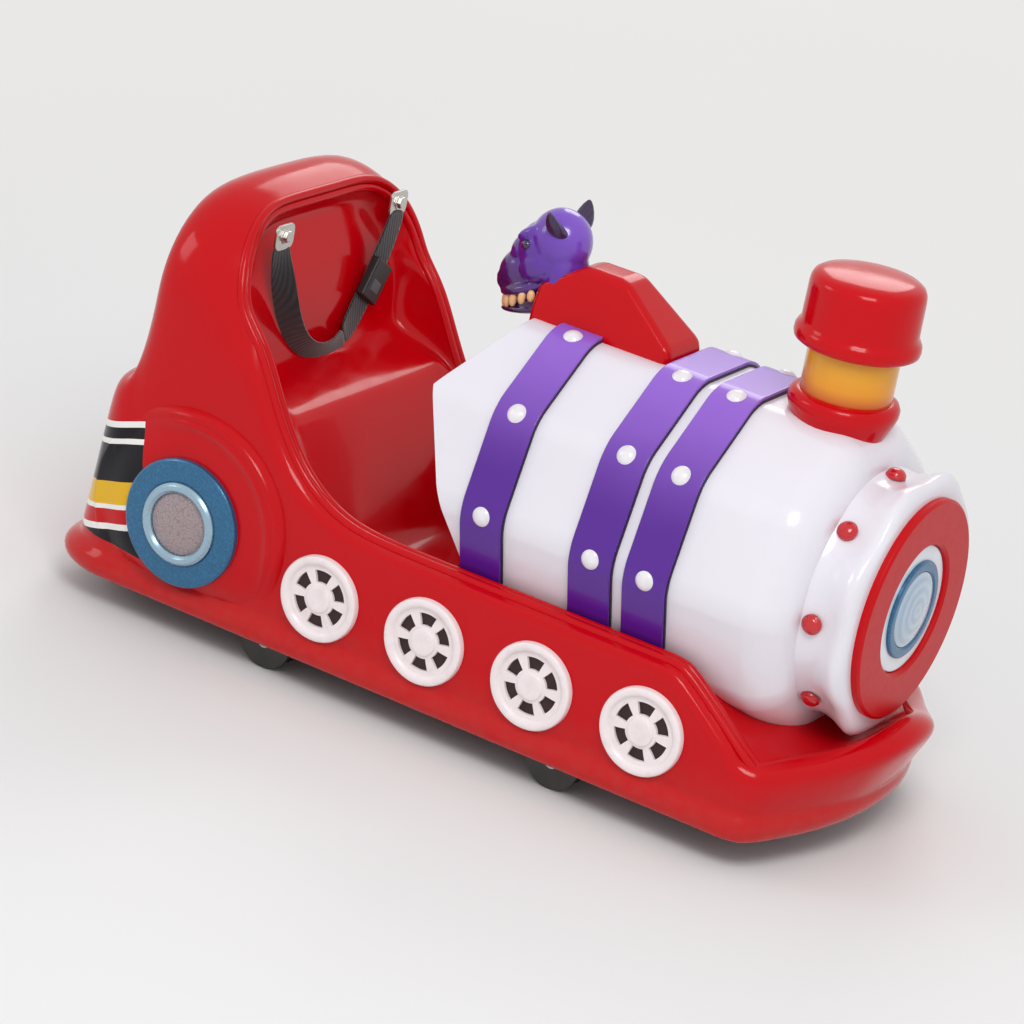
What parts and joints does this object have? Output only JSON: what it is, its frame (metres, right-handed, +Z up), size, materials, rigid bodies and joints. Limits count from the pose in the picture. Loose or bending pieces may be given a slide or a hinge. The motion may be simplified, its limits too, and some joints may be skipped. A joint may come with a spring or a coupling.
{
  "type": "kiddie train ride locomotive",
  "caption": "Toddler ride-on locomotive for a small fairground track: moulded body with bucket seat, strapped barrel boiler, chimney and grooved rail wheels.",
  "frame": {"origin": "on the ground plane under the middle of the overall length, wheel bottoms at z = 0", "axes": "+X forward to the chimney end, +Y to the left side, +Z up"},
  "size_m": [1.284, 0.548, 0.74],
  "materials": {
    "red_shell": "gloss gelcoat on glass-fibre moulding",
    "white_shell": "gloss gelcoat on glass-fibre moulding",
    "purple_strap": "gloss",
    "white_stud": "gloss",
    "red_trim": "gloss",
    "amber_neck": "translucent moulded lamp collar",
    "blue_ring": "metallic film",
    "cover_white": "gloss",
    "dial_white": "gloss",
    "dial_blue": "gloss",
    "lamp_chrome": "polished",
    "lamp_lens": "smoked reflector lens",
    "figure_purple": "gloss with pearl",
    "figure_horn": "gloss",
    "figure_tooth": "gloss",
    "belt_webbing": "woven polyester webbing",
    "belt_plate": "polished",
    "belt_buckle": "moulded",
    "frame_steel": "satin black paint",
    "bearing_iron": "as cast, painted",
    "axle_steel": "bright turned",
    "wheel_nylon": "turned nylon",
    "motor_grey": "grey enamel",
    "hitch_steel": "satin black paint"
  },
  "bodies": {
    "root": {"belt_anchor_left": "belt_plate", "belt_anchor_right": "belt_plate", "belt_buckle": "belt_buckle", "belt_left": "belt_webbing", "belt_right": "belt_webbing", "body_hull": "red_shell", "boiler": "white_shell", "boiler_front": "white_shell", "chassis_frame": "frame_steel", "chimney_base": "red_trim", "chimney_cap": "red_trim", "chimney_neck": "amber_neck", "cowl": "red_trim", "dial_lens": "dial_white", "dial_plate": "dial_white", "dial_ring": "dial_blue", "figure_ears": "figure_horn", "figure_head": "figure_purple", "figure_teeth": "figure_tooth", "front_bearings": "bearing_iron", "front_ring": "red_trim", "front_studs": "red_trim", "gearmotor": "motor_grey", "lamp_bezels": "blue_ring", "lamp_lenses": "lamp_lens", "lamp_rings": "lamp_chrome", "rear_bearings": "bearing_iron", "rear_hitch": "hitch_steel", "seat_liner": "red_shell", "strap_front": "purple_strap", "strap_middle": "purple_strap", "strap_rear": "purple_strap", "studs_front": "white_stud", "studs_middle": "white_stud", "studs_rear": "white_stud", "wheel_covers_left": "cover_white", "wheel_covers_right": "cover_white"},
    "front_axle": {"front_axle": "axle_steel", "front_wheels": "wheel_nylon"},
    "rear_axle": {"rear_axle": "axle_steel", "rear_wheels": "wheel_nylon"}
  },
  "joints": [
    {"name": "front_axle_spin", "type": "hinge", "parent": "root", "child": "front_axle", "pos_m": [0.23, 0, 0.04], "axis": [0, 1, 0], "continuous": true},
    {"name": "rear_axle_spin", "type": "hinge", "parent": "root", "child": "rear_axle", "pos_m": [-0.23, 0, 0.04], "axis": [0, 1, 0], "continuous": true}
  ]
}
